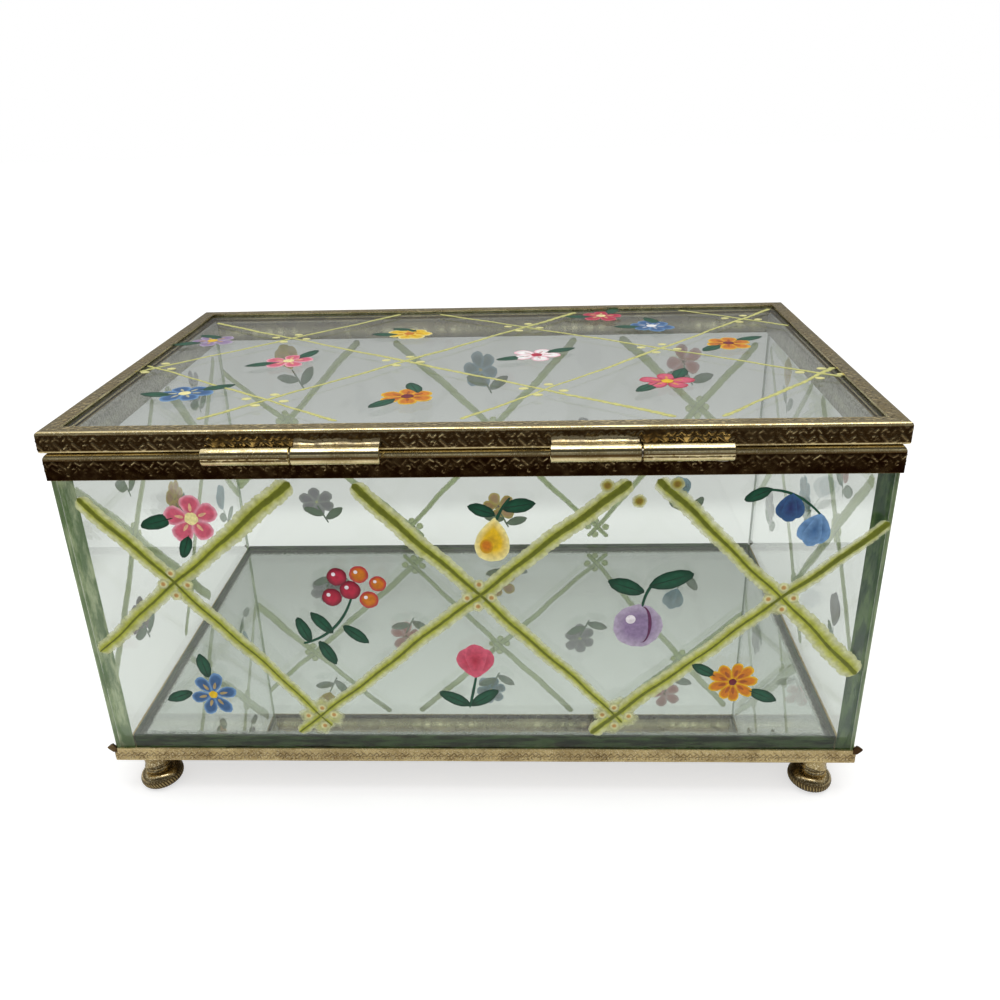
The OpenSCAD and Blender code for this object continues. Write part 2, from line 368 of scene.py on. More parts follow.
def bent_outline(corners):
    """Points round a closed section whose square corners are bent to a radius.

    A corner is (inwards, up, radius, spacing on the straight after it, which face that is). Bends are -1.
    Gives the points, their outward normals, and the number of the face that each lies on.
    """
    points, normals, faces = [], [], []
    count = len(corners)
    spots = np.array([c[:2] for c in corners], float)
    ways = np.roll(spots, -1, 0) - spots
    lengths = np.hypot(*ways.T)
    ways = ways / lengths[:, None]
    outs = np.stack([-ways[:, 1], ways[:, 0]], 1)
    for i, (_, _, radius, spacing, face) in enumerate(corners):
        before, after = outs[i - 1], outs[i]
        hollow = before @ ways[i] > 0
        swing = np.linspace(0, math.pi / 2, max(2, math.ceil(radius * 1.6 / FINE_BEND) + 1))[:, None]
        normal = before * np.cos(swing) + after * np.sin(swing)
        if radius == 0:
            normal = (before + after)[None] / math.sqrt(2)
        reach = -radius if hollow else radius
        points.append(spots[i] - (before + after) * reach + normal * reach if radius else spots[i][None])
        normals.append(normal)
        faces.append(np.full(len(normal), -1))
        far = corners[(i + 1) % count][2]
        steps = max(1, round((lengths[i] - radius - far) / spacing))
        share = np.linspace(radius, lengths[i] - far, steps + 1)[1:-1, None]
        points.append(spots[i] + ways[i] * share)
        normals.append(np.broadcast_to(after, (len(share), 2)))
        faces.append(np.full(len(share), face))
    return np.concatenate(points), np.concatenate(normals), np.concatenate(faces)


def rolled_pattern(period, chains, curls):
    """A pattern of strokes (x, y, x, y, half width) that repeats, for a band with y = 0 at its lower edge.

    A chain is a half width and the dots that it joins; a curl is (x, y, radius, start, end, half width), a
    round stroke between two angles in degrees, made of short straight ones.
    """
    chains = list(chains)
    for x, y, radius, *angles, half in curls:
        turn = np.radians(np.linspace(*angles, 5))
        chains.append((half, *np.stack([x + radius * np.cos(turn), y + radius * np.sin(turn)], 1)))
    return period, [(*a, *b, half) for half, *dots in chains for a, b in zip(dots, dots[1:])]


SCROLL = rolled_pattern(7.2, [
    (0.24, (0.2, 2.0), (1.35, 0.85)), (0.24, (3.7, 1.95), (4.9, 0.9)), (0.16, (1.9, 1.0), (2.8, 1.75)),
    (0.15, (0, 2.5), (0.7, 3.15), (1.3, 2.55)), (0.13, (2.0, 2.5), (2.6, 3.1)), (0.14, (3.2, 3.2), (3.9, 2.5)),
    (0.15, (4.9, 2.4), (5.5, 3.1), (6.1, 2.5), (6.7, 3.05)), (0.11, (6.6, 1.7), (7.0, 1.1)),
    (0.12, (3.2, 0.9), (3.35, 1.35)), (0.1, (5.3, 1.7), (5.45, 2.0)),
], [(2.6, 1.0, 0.34, 200, 420, 0.12), (6.0, 1.35, 0.42, -60, 200, 0.13), (1.7, 3.4, 0.26, 0, 200, 0.1),
    (4.5, 3.4, 0.26, -20, 190, 0.1)])
VINE = rolled_pattern(7.9, [
    (0.15, (0.1, 3.0), (0.9, 3.6), (1.7, 3.1)), (0.17, (2.2, 3.3), (3.3, 2.3)), (0.14, (3.7, 2.6), (4.5, 3.5)),
    (0.14, (5.2, 3.6), (6.1, 3.0), (6.9, 3.5)), (0.13, (7.3, 3.4), (7.8, 2.7)), (0.13, (0.7, 2.6), (1.4, 1.9)),
    (0.12, (5.4, 2.7), (6.0, 2.1)),
], [(2.1, 1.9, 0.4, 40, 250, 0.12), (4.8, 2.0, 0.42, -80, 140, 0.12), (7.0, 1.9, 0.38, 60, 280, 0.11),
    (3.5, 1.2, 0.34, 120, 300, 0.1)])
CREEPER = rolled_pattern(5.6, [
    (0.16, (0, 1.5), (0.7, 2.3), (1.4, 1.5), (2.1, 2.4), (2.8, 1.6), (3.5, 2.4), (4.2, 1.5), (4.9, 2.3), (5.6, 1.5)),
    (0.15, (1.3, 0.6), (1.9, 1.0)), (0.15, (4.2, 2.8), (4.6, 2.5)), (0.15, (2.9, 0.6), (2.5, 1.0)),
    (0.15, (0.2, 2.7), (0.5, 2.4)),
], [(0.7, 1.2, 0.4, 30, 250, 0.15), (2.2, 1.15, 0.42, -70, 150, 0.15), (3.6, 1.2, 0.4, 20, 260, 0.15),
    (5.0, 1.1, 0.42, -60, 170, 0.15)])


def rolled(pattern, along, across):
    """Height of a rolled pattern, 0 to 1: each stroke is a ridge whose section is half a circle."""
    period, strokes = pattern
    x = along % period
    height = np.zeros(np.broadcast(along, across).shape)
    for x0, y0, x1, y1, half in strokes:
        run, rise = x1 - x0, y1 - y0
        for shift in (-period, 0, period):
            a, b = x - x0 - shift, across - y0
            share = np.clip((a * run + b * rise) / (run * run + rise * rise), 0, 1)
            height = np.maximum(height, 1 - np.hypot(a - share * run, b - share * rise) / half)
    return np.sqrt(np.clip(1 - (1 - height) ** 2, 0, 1))


def channel(name, side, box, corners, bands, finish, body, tabbed=False, tinned=0.0, scorched=()):
    """A strip bent to a section and carried along one side of a box outline, cut at 45 degrees at its ends.

    At each station t from -1 to 1 the section's point (inwards q, up z) lies at t times the half length less
    q, so that the end cuts slope at 45 degrees. Bands give each face its rolled pattern, its height, which of
    q and z runs across it and from where, and how brown it is. The strip waves a little along its length.
    Tinned is how far solder has run over its back, and along each scorched stretch the relief is flattened.
    """
    low, high = box
    width, depth = (high - low)[:2] if side % 2 == 0 else (high - low)[1::-1]
    section, normals, faces = bent_outline(corners)
    half = width / 2
    t = np.linspace(-1, 1, math.ceil(width / STATION))[None]
    q, z = section[:, :1], section[:, 1:]
    along = t * (half - MITRE_GAP - q)
    lift = 0.02 * ripple(along, side * 7 + len(name), (47, 0.6), (19, 0.4))
    burnt = np.zeros_like(along)
    for first, last in scorched:
        burnt = np.maximum(burnt, 0.5 + 0.5 * np.tanh(np.minimum(along - first, last - along) / 0.6))
    relief, tarnish = np.zeros_like(along), np.zeros_like(along)
    roller_wear = 0.84 + 0.16 * np.tanh(ripple(along, side, (17, 0.9), (5.3, 0.9), (2.1, 0.6)))
    for face, (pattern, height, across, base, brown) in bands.items():
        on = (faces == face)[:, None]
        shape = rolled(pattern, along + 41.0 * side + 300, (q if across == "q" else z) - base) * roller_wear
        relief = np.where(on, shape * np.sign(height) * (1 - 0.8 * burnt), relief)
        tarnish = np.where(on, brown, tarnish)
        lift = lift + np.where(on, shape * height, 0)
    out = q + normals[:, :1] * lift
    up = z + normals[:, 1:] * lift
    spot = np.stack([along, out - depth / 2, np.broadcast_to(up, out.shape)], -1).reshape(-1, 3)
    rows, columns = relief.shape
    polygons = quads(rows, columns, round_rows=True).tolist()
    for end in (0, columns - 1):
        polygons.append([i * columns + end for i in range(rows)][::1 if end == 0 else -1])
    inside = ((faces == BACK) | (section[:, 0] > INNER_LEG) & (faces == -1))[:, None] * np.ones_like(relief)
    above = z - (low + high)[2] / 2
    # Painted highlights: the glint mark is a bright patch that wanders along the middle of the inner face
    pale = 0.5 + 0.5 * np.tanh(1.7 * ripple(along, side + 3, (43, 0.8), (17, 0.6), (5.1, 0.35)) - 0.3)
    pale = pale * (0.62 + 0.38 * np.tanh(2 * ripple(along, side + 5, (3.7, 0.9), (2.4, 0.6))))
    glint = inside * (0.3 + 0.7 * pale) * np.exp(-(above + 0.5) ** 2)
    # Painted shade: where no solder has run over its back, the upper part of the back is taken out of the tin and
    # darkened brown through the tarnish mark
    if not tinned:
        shade = 0.9 * inside * (faces == BACK)[:, None] * np.clip((above - 0.5) / 0.7, 0, 1)
        inside, tarnish = inside - shade, tarnish + shade
    marks = {"relief": relief, "tarnish": tarnish, "inside": inside, "glint": glint, "solder": inside * tinned}
    marks = {mark: values.ravel() for mark, values in marks.items()}
    if tabbed:
        spot, polygons, marks = corner_tabs(spot, polygons, marks, half, depth, high[2])
    turn = np.radians(90 * side)
    centre = (low + high) / 2
    x = spot[:, 0] * np.cos(turn) - spot[:, 1] * np.sin(turn) + centre[0]
    y = spot[:, 0] * np.sin(turn) + spot[:, 1] * np.cos(turn) + centre[1]
    return piece(name + "_embossed", np.stack([x, y, spot[:, 2]], 1), polygons, finish, body, [name],
                 marks)


def outline_of(kind):
    """Lowest and highest corner of the four channels of one kind together."""
    corners = [span(f"{kind}_{side}") for side in SIDES]
    return np.min([c[0] for c in corners], 0), np.max([c[1] for c in corners], 0)


def corner_tabs(spot, polygons, marks, half, depth, top):
    """Adds a pointed tab, cut from the strip and bent out over the corner, at each end of a long base channel."""
    outline = np.array([(0.7, -0.9), (0.7, 0.5), (0.1, 1.3), (-0.5, 1.0), (-1.3, 0.3), (-1.0, -0.2), (-0.2, -0.9)])
    n = len(outline)
    lean = 0.12 * np.maximum(outline[:, 1], 0)
    for end in (-1, 1):
        first = len(spot)
        flat = [np.stack([end * (half - outline[:, 0]), -depth / 2 + inset - lean - 0.05, top + outline[:, 1]], 1)
                for inset in (0.0, BRASS - 0.02)]
        spot = np.concatenate([spot, *flat])
        loop = list(range(first, first + n))
        back = [i + n for i in loop]
        sides = [[loop[i], back[i], back[(i + 1) % n], loop[(i + 1) % n]] for i in range(n)]
        polygons += [face[::end] for face in (loop, back[::-1], *sides)]
        for name in marks:
            marks[name] = np.concatenate([marks[name], np.full(2 * n, 1.0 if name == "tarnish" else 0.0)])
    return spot, polygons, marks


def knuckle(name, finish, body, up, face, seam, grey, seed):
    """A rolled tube soldered to its channel by a hollow fillet whose reach wanders along the joint.

    Round the tube runs a circle of one radius; from the angle where the hollow touches it the section
    follows that hollow to the flat face behind, and comes back below it. The bore is a smaller circle. Up is
    whether the solder lies above the axis, face how far behind it the channel is, seam where the rolled edge
    shows in degrees, and grey how much of the solder is bare.
    """
    low, high = span(name)
    pin_low, pin_high = span(name.replace("lid_knuckle", "hinge_pin").replace("body_knuckle", "hinge_pin"))
    axis = (pin_low + pin_high) / 2
    tube = axis[1] - low[1]
    length, middle = high[0] - low[0], (low[0] + high[0]) / 2
    stations, tube_steps, fillet_steps = 90, 64, 12
    x = np.linspace(-1, 1, stations)
    x = np.sign(x) * (1 - (1 - np.abs(x)) ** 1.15) * length / 2
    end = np.clip((length / 2 - np.abs(x)) / 0.22, 0, 1)
    radius = tube - 0.16 * (1 - np.sqrt(1 - (1 - end) ** 2)) + 0.015 * ripple(x, seed, (9, 1), (3.7, 0.6))
    reach = (1.1 + ripple(x, seed + 1, (8.5, 0.12), (3.9, 0.06), (1.7, 0.03))) * (0.55 + 0.45 * end)
    hollow_q = face - reach
    hollow_z = np.sqrt((radius + reach) ** 2 - hollow_q ** 2)
    touch = np.arctan2(hollow_z, hollow_q)
    start = math.atan2(1.0, face)
    turn = start - np.linspace(0, 1, tube_steps)[:, None] * (start - touch[None] + 2 * math.pi)
    dip = 0.14 * np.exp(-((np.degrees(turn) + 180 + seam) / 4.0) ** 2) if seam else 0
    ring = np.stack([(radius - dip) * np.cos(turn), (radius - dip) * np.sin(turn)], -1)
    bend = touch[None] + math.pi + np.linspace(0, 1, fillet_steps)[:, None] * (2 * math.pi - touch[None] - math.pi)
    fillet = np.stack([hollow_q + reach * np.cos(bend), hollow_z + reach * np.sin(bend)], -1)
    drop = np.linspace(0, 1, 5)[1:, None]
    wall = np.stack([np.full((4, len(x)), face), hollow_z * (1 - drop) + 1.03 * drop], -1)
    section = np.concatenate([ring, fillet, wall])
    rows = len(section)
    bore_turn = start - np.linspace(0, 2 * math.pi, rows, endpoint=False)[:, None]
    pin = (pin_high[2] - pin_low[2]) / 2 + 0.02
    bore = np.stack([pin * np.cos(bore_turn) + 0 * x, pin * np.sin(bore_turn) + 0 * x], -1)
    both = np.concatenate([section, bore])
    sign = 1 if up else -1
    points = np.stack([np.broadcast_to(x + middle, both.shape[:2]), axis[1] + both[..., 0],
                       axis[2] + sign * both[..., 1]], -1)
    columns = len(x)
    skin = quads(rows, columns, round_rows=True)
    inner = skin[:, ::-1] + rows * columns
    ends = []
    for column, order in ((0, 1), (columns - 1, -1)):
        a = np.arange(rows) * columns + column
        b = a + rows * columns
        ends.append(np.stack([a, b, np.roll(b, -1), np.roll(a, -1)], 1)[:, ::order])
    tinned = np.concatenate([np.zeros(tube_steps - 4), np.linspace(0.1, 0.9, 4), np.ones(rows - tube_steps),
                             np.zeros(rows)])[:, None]
    patchy = (tinned * (0.7 + 0.3 * np.tanh(ripple(x, seed + 2, (5.3, 1), (2.1, 0.8))))[None]).ravel()
    return piece(name + "_soldered", points.reshape(-1, 3), np.concatenate([skin, inner, *ends]).tolist(), finish,
                 body, [name], {"solder": grey * patchy, "tarnish": (1 - grey) * 0.7 * patchy})


def foot(name, finish):
    """A turned foot: a profile of (radius, height) carried round its axis, with fine slanting knurls on its rim.

    The neck flares at its top, a hollow is turned below the waist, and the bun under it is a round torus rim
    on a flat sole. The knurls push the rim in by a rectified sine of the angle plus a share of the height.
    """
    low, high = span(name)
    centre = (low + high) / 2
    radius, tall = (high - low)[0] / 2, high[2]
    bun, waist, neck = 3.7, 2.3, 2.9
    arc = np.linspace(-90, 90, 26)
    rim = np.stack([radius - bun / 2 + bun / 2 * np.cos(np.radians(arc)),
                    bun / 2 + bun / 2 * np.sin(np.radians(arc))], 1)
    shoulder = np.array([(3.2, bun), (2.95, bun + 0.02)])
    cove_arc = np.radians(np.linspace(270, 90, 12))
    cove = np.stack([waist + 0.65 + 0.65 * np.cos(cove_arc), bun + 0.67 + 0.65 * np.sin(cove_arc)], 1)
    share = np.linspace(0, 1, 12)[1:, None]
    cone = np.array([waist + 0.45, bun + 1.34]) * (1 - share) + np.array([neck, tall + 0.7]) * share
    cone[:, 0] -= 0.22 * np.sin(math.pi * share[:, 0])
    profile = np.concatenate([[(0.001, 0), (radius - bun / 2 - 0.4, 0)], rim, shoulder, cove, cone,
                              [(0.001, tall + 0.7)]])
    turn = np.linspace(0, 2 * math.pi, 210, endpoint=False)[None]
    r, z = profile[:, :1], profile[:, 1:]
    band = np.exp(-((z - 1.35) / 1.15) ** 4) * (r > 3.4)
    knurl = np.abs(np.sin(22 * turn + 1.5 * z)) ** 0.7
    r = r - 0.26 * band * (1 - knurl)
    points = np.stack([r * np.cos(turn), r * np.sin(turn), z + 0 * turn], -1)
    # As it was soldered, the foot leans about the middle of its bun, its neck towards the nearer corner
    lean = math.radians(8.0) * (1 if centre[0] > 0 else -1)
    x, up = points[..., 0].copy(), points[..., 2] - bun / 2
    points[..., 0] = x * math.cos(lean) + up * math.sin(lean)
    points[..., 2] = np.clip(up * math.cos(lean) - x * math.sin(lean) + bun / 2, 0, tall)
    points += (centre[0], centre[1], 0)
    rows, columns = points.shape[:2]
    faces = quads(rows, columns, round_columns=True).tolist()
    relief = np.broadcast_to(band * knurl, (rows, columns))
    dull = np.broadcast_to(band, (rows, columns))
    return piece(name + "_turned", points.reshape(-1, 3), faces, finish, "casket", [name],
                 {"relief": relief.ravel(), "tarnish": dull.ravel()}, crease=50)


# ---------------------------------------------------------------- paint on the glass


# Off the glass: the first shape's underside, what each later one adds to it, and where top coats begin
UNDERSIDE, UNDERSIDE_STEP, TOP_COAT = 0.004, 0.00022, 0.06
# Points across a stroke, and how far apart they are along it
ACROSS, STROKE_STEP = 9, 0.4


def spread(share, values):
    """Reads numbers or colours, which stand at even steps from 0 to 1, at a share of the way."""
    values = np.atleast_1d(np.asarray(values, float))
    steps = np.linspace(0, 1, len(values))
    if values.ndim == 1:
        return np.interp(share, steps, values)
    return np.stack([np.interp(share, steps, part) for part in values.T], -1)


class Enamelling:
    """Strokes and dabs of enamel on one plate, gathered into one mesh.

    A place on the plate is (u, v) millimetres along two of its edges, and a lift off its face. First is how
    many shapes lie below this mesh's own.
    """

    def __init__(self, origin, along, up, out, first=0):
        self.frame = np.array([origin, along, up, out], float)
        self.shapes, self.hubs = [], []
        self.total, self.count = 0, first

    def add(self, u, v, lift, faces, tint, under, thin=0.0):
        origin, along, up, out = self.frame
        spots = origin + u[..., None] * along + v[..., None] * up + lift[..., None] * out
        tint = np.broadcast_to(tint, spots.shape)
        under, thin = (np.broadcast_to(mark, u.shape).ravel() for mark in (under, thin))
        self.shapes.append((spots.reshape(-1, 3), faces + self.total, tint.reshape(-1, 3), under, thin))
        self.total += u.size

    def underside(self, lift):
        """Height of a shape's underside: each lies a hair above the one before, and a top coat on its first."""
        self.count += 1
        return UNDERSIDE + UNDERSIDE_STEP * self.count + 0.7 * max(lift - TOP_COAT, 0)

    def stroke(self, path, half, tints, lift, thick, seed, ragged=0.0, fade=0.0, pale_and_backlit_share=0.45):
        """A brush stroke along a path of (u, v): a domed ribbon whose two edges wander by the ragged share.

        Its half width falls off as a circle does at both ends, and its colour goes from the first tint on
        the middle line to the last at the edges. Its closed section goes over the top and back underneath.
        """
        path = np.asarray(path, float)
        steps = np.hypot(*np.diff(path, axis=0).T)
        run = np.concatenate([[0], np.cumsum(steps)])
        count = max(8, int(run[-1] / STROKE_STEP))
        s = np.linspace(0, run[-1], count)
        u, v = np.interp(s, run, path[:, 0]), np.interp(s, run, path[:, 1])
        way = np.stack([np.gradient(u, s), np.gradient(v, s)], 1)
        way /= np.hypot(*way.T)[:, None]
        over = np.linspace(-1, 1, ACROSS)
        side = np.concatenate([over, over[::-1]])[:, None]
        below = np.repeat([0.0, 1.0], ACROSS)[:, None]
        widths = spread(s / run[-1], half)
        near = np.minimum(s, run[-1] - s) / np.maximum(widths, 0.05)
        round_end = np.sqrt(np.clip(1 - (1 - np.clip(near, 0, 1)) ** 2, 0.0004, 1))
        edge = np.where(side < 0, ripple(s, seed, (2.7, 0.5), (1.3, 0.45), (0.8, 0.35))[None],
                        ripple(s, seed + 50, (3.1, 0.5), (1.5, 0.45), (0.7, 0.35))[None])
        w = widths * round_end * (1 + ragged * edge)
        a = u - way[:, 1] * side * w
        b = v + way[:, 0] * side * w
        top = lift + thick * np.sqrt(np.clip(1 - side ** 2, 0, 1)) * round_end
        dome = np.where(below, self.underside(lift), 0.02 + top)
        share = np.clip(np.abs(side) * (1 + 0.12 * ripple(s, seed + 9, (4.1, 1), (1.7, 0.8))), 0, 1)
        last = 2 * ACROSS - 1
        caps = np.array([[i * count + e, (i + 1) * count + e, (last - 1 - i) * count + e, (last - i) * count + e]
                         for i in range(ACROSS - 1) for e in (0, count - 1)])
        caps[::2] = caps[::2, ::-1]
        thin = spread(s / run[-1], fade) * np.clip((np.abs(side) - 0.3) / 0.7, 0, 1)
        self.add(a, b, dome, np.concatenate([quads(last + 1, count, round_rows=True), caps]),
                 spread(share, tints), pale_and_backlit_share * below, thin)

    def dab(self, centre, outline, tints, lift, thick=0.07, seed=0, ragged=0.0, fade=0.0, pale_and_backlit_share=0.45):
        """A dab of paint: rings that shrink from its outline to its centre, domed, over a flat underside."""
        outline = np.asarray(outline, float)
        count = len(outline)
        above, under, hole = 7, 3, 0.02
        rings = np.concatenate([np.linspace(hole, 1, above), np.linspace(1, hole, under)])[:, None]
        below = np.repeat([0.0, 1.0], (above, under))[:, None]
        turn = np.linspace(0, 2 * math.pi, count, endpoint=False)
        wander = 1 + ragged * (np.sin(5 * turn + seed) * 0.5 + np.sin(11 * turn + 2 * seed) * 0.5) * rings
        u = centre[0] + rings * (outline[:, 0] - centre[0]) * wander
        v = centre[1] + rings * (outline[:, 1] - centre[1]) * wander
        top = lift + thick * np.sqrt(np.clip(1 - rings ** 2, 0, 1))
        dome = np.where(below, self.underside(lift), 0.02 + top)
        hub = np.arange(count) + self.total
        self.hubs += [hub[::-1].tolist(), (hub + (above + under - 1) * count).tolist()]
        thin = fade * np.clip((rings - 0.45) / 0.55, 0, 1)
        self.add(u, v, np.broadcast_to(dome, u.shape), quads(above + under, count, round_columns=True),
                 spread(rings, tints), pale_and_backlit_share * below, thin)

    def make(self, name, finish, body):
        points, faces, tint, under, thin = (np.concatenate(part) for part in zip(*self.shapes))
        marks = {"tint": np.concatenate([tint, np.ones((len(tint), 1))], 1), "under": under, "thin": thin}
        return piece(name, points, faces.tolist() + self.hubs, finish, body, marks=marks, crease=70)


def ink(red, green, blue):
    """A paint's colour, from 0 to 255 as on a screen."""
    return tone(red, green, blue)[:3]


CORE, OLIVE, LEMON = ink(100, 108, 20), ink(120, 128, 34), ink(168, 174, 58)
LIME, PALE = ink(192, 196, 112), ink(212, 216, 166)
DOT, DOT_EDGE = ink(182, 140, 78), ink(218, 218, 166)
# How wide a trellis line's halo is along it, the lines that differ, how its thin edge fades, and how wide its
# core is where it was brushed from its first end (1) or from its last (-1)
HALO_WIDTHS = (1.0, 1.1, 1.0, 1.0, 0.85, 0.75)
OTHER_HALOS = {1: (1.15, 1.3, 1.1, 1.0, 1.05, 0.9), 4: (1.4, 1.3, 1.0, 0.9, 1.05, 1.0)}
CORE_WIDTHS = {1: (1.3, 0.95, 0.55, 0.5, 0.4, 0.3), -1: (1.2, 0.8, 0.46, 0.36, 0.55, 0.9)}
HALO_FADES = (0.45, 0.5, 0.7, 0.75, 0.8)


def line(a, b, bend, seed, count=40):
    """A hand-drawn straight: it bows by bend millimetres in the middle and wavers a little."""
    a, b = np.array(a, float), np.array(b, float)
    share = np.linspace(0, 1, count)[:, None]
    way = (b - a) / np.hypot(*(b - a))
    off = bend * np.sin(math.pi * share[:, 0]) + ripple(share[:, 0] * np.hypot(*(b - a)), seed, (31, 0.16), (12, 0.1))
    return a * (1 - share) + b * share + off[:, None] * np.array([-way[1], way[0]])


def crossings(lines):
    """Where two of the lines cross, from the two shares along them that give the same point."""
    found = []
    for k, (a, b, _) in enumerate(lines):
        for c, d, _ in lines[k + 1:]:
            a, b, c, d = (np.array(end, float) for end in (a, b, c, d))
            one, two = np.linalg.solve(np.stack([b - a, c - d], 1), c - a)
            if 0 < one < 1 and 0 < two < 1:
                found.append(a + one * (b - a))
    return found


def dot(art, spot, k, ring=DOT_EDGE, heart=DOT, size=1.0):
    """A dot in a pale ring that thins out at its edge."""
    middle, edge = np.array(heart), np.array(ring)
    art.dab(spot, circle(spot, 1.1 * size), [ring, ring, PALE], 0.065, 0.03, k, 0.08, 0.6)
    art.dab(spot, circle(spot, 0.52 * size), [heart, heart, middle * 0.5 + edge * 0.5], 0.12, 0.03, k)


def trellis(art, lines, halo, core, dots, patch):
    """Crossed lines with a pale ragged halo under a dark core, and four dots at each crossing.

    Halo and core are half widths, dots is how far out they lie, and patch is the reach of a pale patch under
    them, or 0. A line is (first end, last end, which end its brush started from, 1 or -1).
    """
    for k, (a, b, heavy) in enumerate(lines):
        path = line(a, b, 0.25 * (-1) ** k, k)
        wide = halo * np.array(OTHER_HALOS.get(k, HALO_WIDTHS))[::heavy]
        art.stroke(path, wide, [LEMON, LEMON, LIME, PALE, PALE], 0.03 + 0.006 * (k % 5), 0.01, k, 0.1,
                   np.array(HALO_FADES)[::heavy], 1.0)
        thin = np.array(CORE_WIDTHS[heavy]) * (1 if k else 0.7)
        art.stroke(path, core * thin, [CORE, CORE, OLIVE], 0.12 + 0.01 * (k % 4), 0.04, k + 20, 0.12)
    for k, (u, v) in enumerate(crossings(lines)):
        if patch:
            star = circle((0, 0), 1, count=60)
            turn = np.linspace(0, 2 * math.pi, 60, endpoint=False)
            low_down = 1.35 if v < 25 else 1
            reach = patch * low_down * (0.86 + 0.14 * np.cos(4 * turn + 0.3 * k) + 0.04 * np.sin(13 * turn + k))
            art.dab((u, v), (u, v) + star * reach[:, None], [LIME, LIME, PALE], 0.03, 0.004, k, 0, 0.9, 1.0)
        for angle in (0, 90, 180, 270):
            turn = math.radians(angle + 9 * math.sin(2 * k + angle))
            away = dots * (1 + 0.14 * math.sin(3 * k + angle))
            dot(art, (u + away * math.cos(turn), v + away * 0.92 * math.sin(turn)), k)


def circle(centre, radius, squash=1.0, count=28):
    turn = np.linspace(0, 2 * math.pi, count, endpoint=False)
    return np.stack([centre[0] + radius * np.cos(turn), centre[1] + squash * radius * np.sin(turn)], 1)


def petal_of(base, length, width, angle, leaf_shaped=False):
    """Outline of a petal or leaf that starts at base and points at an angle in degrees.

    Along its middle line it runs as half a cosine; across, as a sine that a leaf fills out and a petal
    gathers towards its base.
    """
    t = np.linspace(0, 2 * math.pi, 30, endpoint=False)
    x = length * (1 - np.cos(t)) / 2
    y = width / 2 * np.sin(t) * (np.abs(np.sin(t)) ** 0.35 if leaf_shaped else np.sin(t / 2) ** 0.8 * 1.15)
    turn = math.radians(angle)
    return np.stack([base[0] + x * math.cos(turn) - y * math.sin(turn),
                     base[1] + x * math.sin(turn) + y * math.cos(turn)], 1)


def heading(angle):
    """The direction at an angle in degrees."""
    return np.array([math.cos(math.radians(angle)), math.sin(math.radians(angle))])


LEAF, LEAF_DARK = ink(22, 84, 60), ink(12, 56, 40)


def leaf(art, base, length, width, angle, seed=0):
    """A leaf with a dark vein."""
    outline = petal_of(base, length, width, angle, True)
    art.dab(outline.mean(0), outline, [LEAF, LEAF, LEAF_DARK], 0.06, 0.05, seed, 0.04)
    tip = np.array(base) + length * 0.85 * heading(angle)
    art.stroke([base, tip], [0.12, 0.1, 0.04], [LEAF_DARK], 0.13, 0.02, seed)


def leaves(art, seed, *each):
    """Leaves of (u, v, length, width, angle), whose seeds follow on from the first."""
    for k, (u, v, length, width, angle) in enumerate(each):
        leaf(art, (u, v), length, width, angle, seed + k)


def stem(art, path, half=0.28, seed=0):
    """A stem through the first and last of three points, drawn towards the middle one."""
    t = np.linspace(0, 1, 20)[:, None]
    first, middle, last = np.array(path, float)
    path = first * (1 - t) ** 2 + middle * 2 * t * (1 - t) + last * t * t
    art.stroke(path, [half * 0.8, half, half * 0.7], [LEAF, LEAF_DARK], 0.04, 0.05, seed)


def rosette(art, centre, petals, length, width, tint, rim, heart, turn=0.0, seed=0):
    """Petals about a round heart, each with a darker dab near its base."""
    tint, rim, spot = np.array(tint), np.array(rim), np.array(centre)
    for k in range(petals):
        angle = turn + 360 * k / petals + 5 * math.sin(seed + 2.3 * k)
        out = heading(angle)
        outline = petal_of(spot + out * 0.3, length * (1 + 0.08 * math.sin(seed + k * 1.7)), width, angle)
        art.dab(spot + out * length * 0.62, outline, [tint, tint, tint, rim], 0.05 + 0.012 * (k % 3), 0.04,
                seed + k, 0.05)
        art.stroke([spot + out * length * 0.3, spot + out * length * 0.66], [0.25, 0.34, 0.1],
                   [np.array(heart) * 0.5 + tint * 0.5], 0.14, 0.03, seed + k)
    art.dab(centre, circle(centre, width * 0.3), [heart, heart], 0.16, 0.06, seed, 0.08)


def bell(art, top, length, width, angle, tint, rim, seed=0):
    """A hanging bell: a cup of three overlapping petals whose tips flare."""
    for k, splay in enumerate((-17, 17, 0)):
        outline = petal_of(top, length * (0.96 if splay else 1.06), width, angle + splay)
        art.dab(outline.mean(0), outline, [tint, rim], 0.05 + 0.02 * k, 0.06, seed + k, 0.03)


def berry(art, centre, radius, tint, rim):
    """A round fruit with one highlight."""
    art.dab(centre, circle(centre, radius), [tint, tint, rim], 0.06, 0.1, centre[0], 0.03)
    spot = (centre[0] - radius * 0.3, centre[1] + radius * 0.32)
    art.dab(spot, circle(spot, radius * 0.2), [SHINE], 0.19, 0.03)


YELLOW, GOLD, ORANGE = ink(226, 186, 30), ink(206, 160, 20), ink(200, 116, 12)
LAVENDER, MAUVE, PLUM = ink(176, 164, 186), ink(140, 120, 156), ink(96, 44, 84)
SKY, BLUE, NAVY = ink(112, 152, 196), ink(52, 92, 138), ink(38, 46, 98)
ROSE, RED, WINE, BLUSH = ink(206, 92, 116), ink(178, 40, 66), ink(110, 22, 44), ink(232, 168, 184)
WHITE, CREAM, SHINE = ink(240, 238, 236), ink(236, 226, 160), ink(232, 226, 232)


def sprig(art, x, z, k, foot, near, far, cup, bloom, tints, seed):
    """A stem from foot to the left of (x, z), and two leaves, under a bell if it has a cup, or a rosette.

    A leaf is (left of x, below z, length, width, angle, seed), a cup is (length, width, angle), and a bloom is
    (petals, length).
    """
    stem(art, [(x - foot, z - 6), (x - 1, z - 2), (x, z)], 0.28, k)
    for left, below, *shape in (near, far):
        leaf(art, (x - left, z - below), *shape)
    if cup:
        bell(art, (x, z), *cup, *tints[:2], seed + k)
    else:
        rosette(art, (x, z + 1), *bloom, 3.8, *tints, 12 * k, seed + k)


